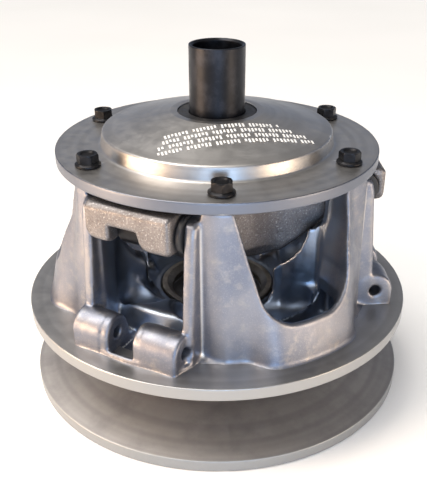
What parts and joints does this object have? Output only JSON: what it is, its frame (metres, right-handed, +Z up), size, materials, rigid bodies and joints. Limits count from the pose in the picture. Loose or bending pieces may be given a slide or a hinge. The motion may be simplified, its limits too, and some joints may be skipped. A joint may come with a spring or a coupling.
{
  "type": "cvt driving pulley",
  "caption": "Driving pulley of a belt CVT: fixed and sliding conical sheaves on a hollow black post, three-arm spider with rollers, and a bolted domed cover.",
  "frame": {"origin": "on the post's axis, at the fixed sheave's lower face", "axes": "+Z up the post, from the fixed sheave to the cover; -Y is the side that the picture looks at"},
  "size_m": [0.21, 0.21, 0.1815],
  "materials": {
    "cast_aluminium": "smooth die-cast skin, lightly tumbled",
    "turned_aluminium": "fine lathe lines",
    "rough_casting": "sand-cast, grainy",
    "black_oxide_steel": "black oxide, satin",
    "bright_steel": "ground",
    "spring_steel": "drawn wire",
    "bronze": "sintered, dull",
    "bearing_plastic": "black, matte"
  },
  "bodies": {
    "fixed_assembly": {"fixed_sheave": "turned_aluminium", "post": "black_oxide_steel", "spider": "rough_casting", "spider_lock_nut": "black_oxide_steel", "spring_seat": "bright_steel", "spring": "spring_steel", "roller_pin_1": "bright_steel", "roller_pin_2": "bright_steel", "roller_pin_3": "bright_steel", "guide_button_1": "bearing_plastic", "guide_button_2": "bearing_plastic", "guide_button_3": "bearing_plastic", "guide_button_4": "bearing_plastic", "guide_button_5": "bearing_plastic", "guide_button_6": "bearing_plastic"},
    "movable_assembly": {"movable_sheave": "cast_aluminium", "hub_collar": "bronze", "hub_bushing": "bearing_plastic", "cover": "turned_aluminium", "cover_bushing": "bearing_plastic", "cover_bolt_1": "black_oxide_steel", "cover_bolt_2": "black_oxide_steel", "cover_bolt_3": "black_oxide_steel", "cover_bolt_4": "black_oxide_steel", "cover_bolt_5": "black_oxide_steel", "cover_bolt_6": "black_oxide_steel"},
    "roller_1": {"roller_1": "black_oxide_steel", "roller_bush_1": "bronze"},
    "roller_2": {"roller_2": "black_oxide_steel", "roller_bush_2": "bronze"},
    "roller_3": {"roller_3": "black_oxide_steel", "roller_bush_3": "bronze"}
  },
  "joints": [
    {"name": "shift_slide", "type": "slide", "parent": "fixed_assembly", "child": "movable_assembly", "axis": [0, 0, 1], "range_m": [0, 0.025], "deforming": ["spring"]},
    {"name": "roller_1_spin", "type": "hinge", "parent": "fixed_assembly", "child": "roller_1", "pos_m": [-0.03744, -0.05806, 0.111], "axis": [0.866, -0.5, 0], "continuous": true},
    {"name": "roller_2_spin", "type": "hinge", "parent": "fixed_assembly", "child": "roller_2", "pos_m": [0.069, -0.0034, 0.111], "axis": [0, 1, 0], "continuous": true},
    {"name": "roller_3_spin", "type": "hinge", "parent": "fixed_assembly", "child": "roller_3", "pos_m": [-0.03156, 0.06146, 0.111], "axis": [-0.866, -0.5, 0], "continuous": true}
  ]
}
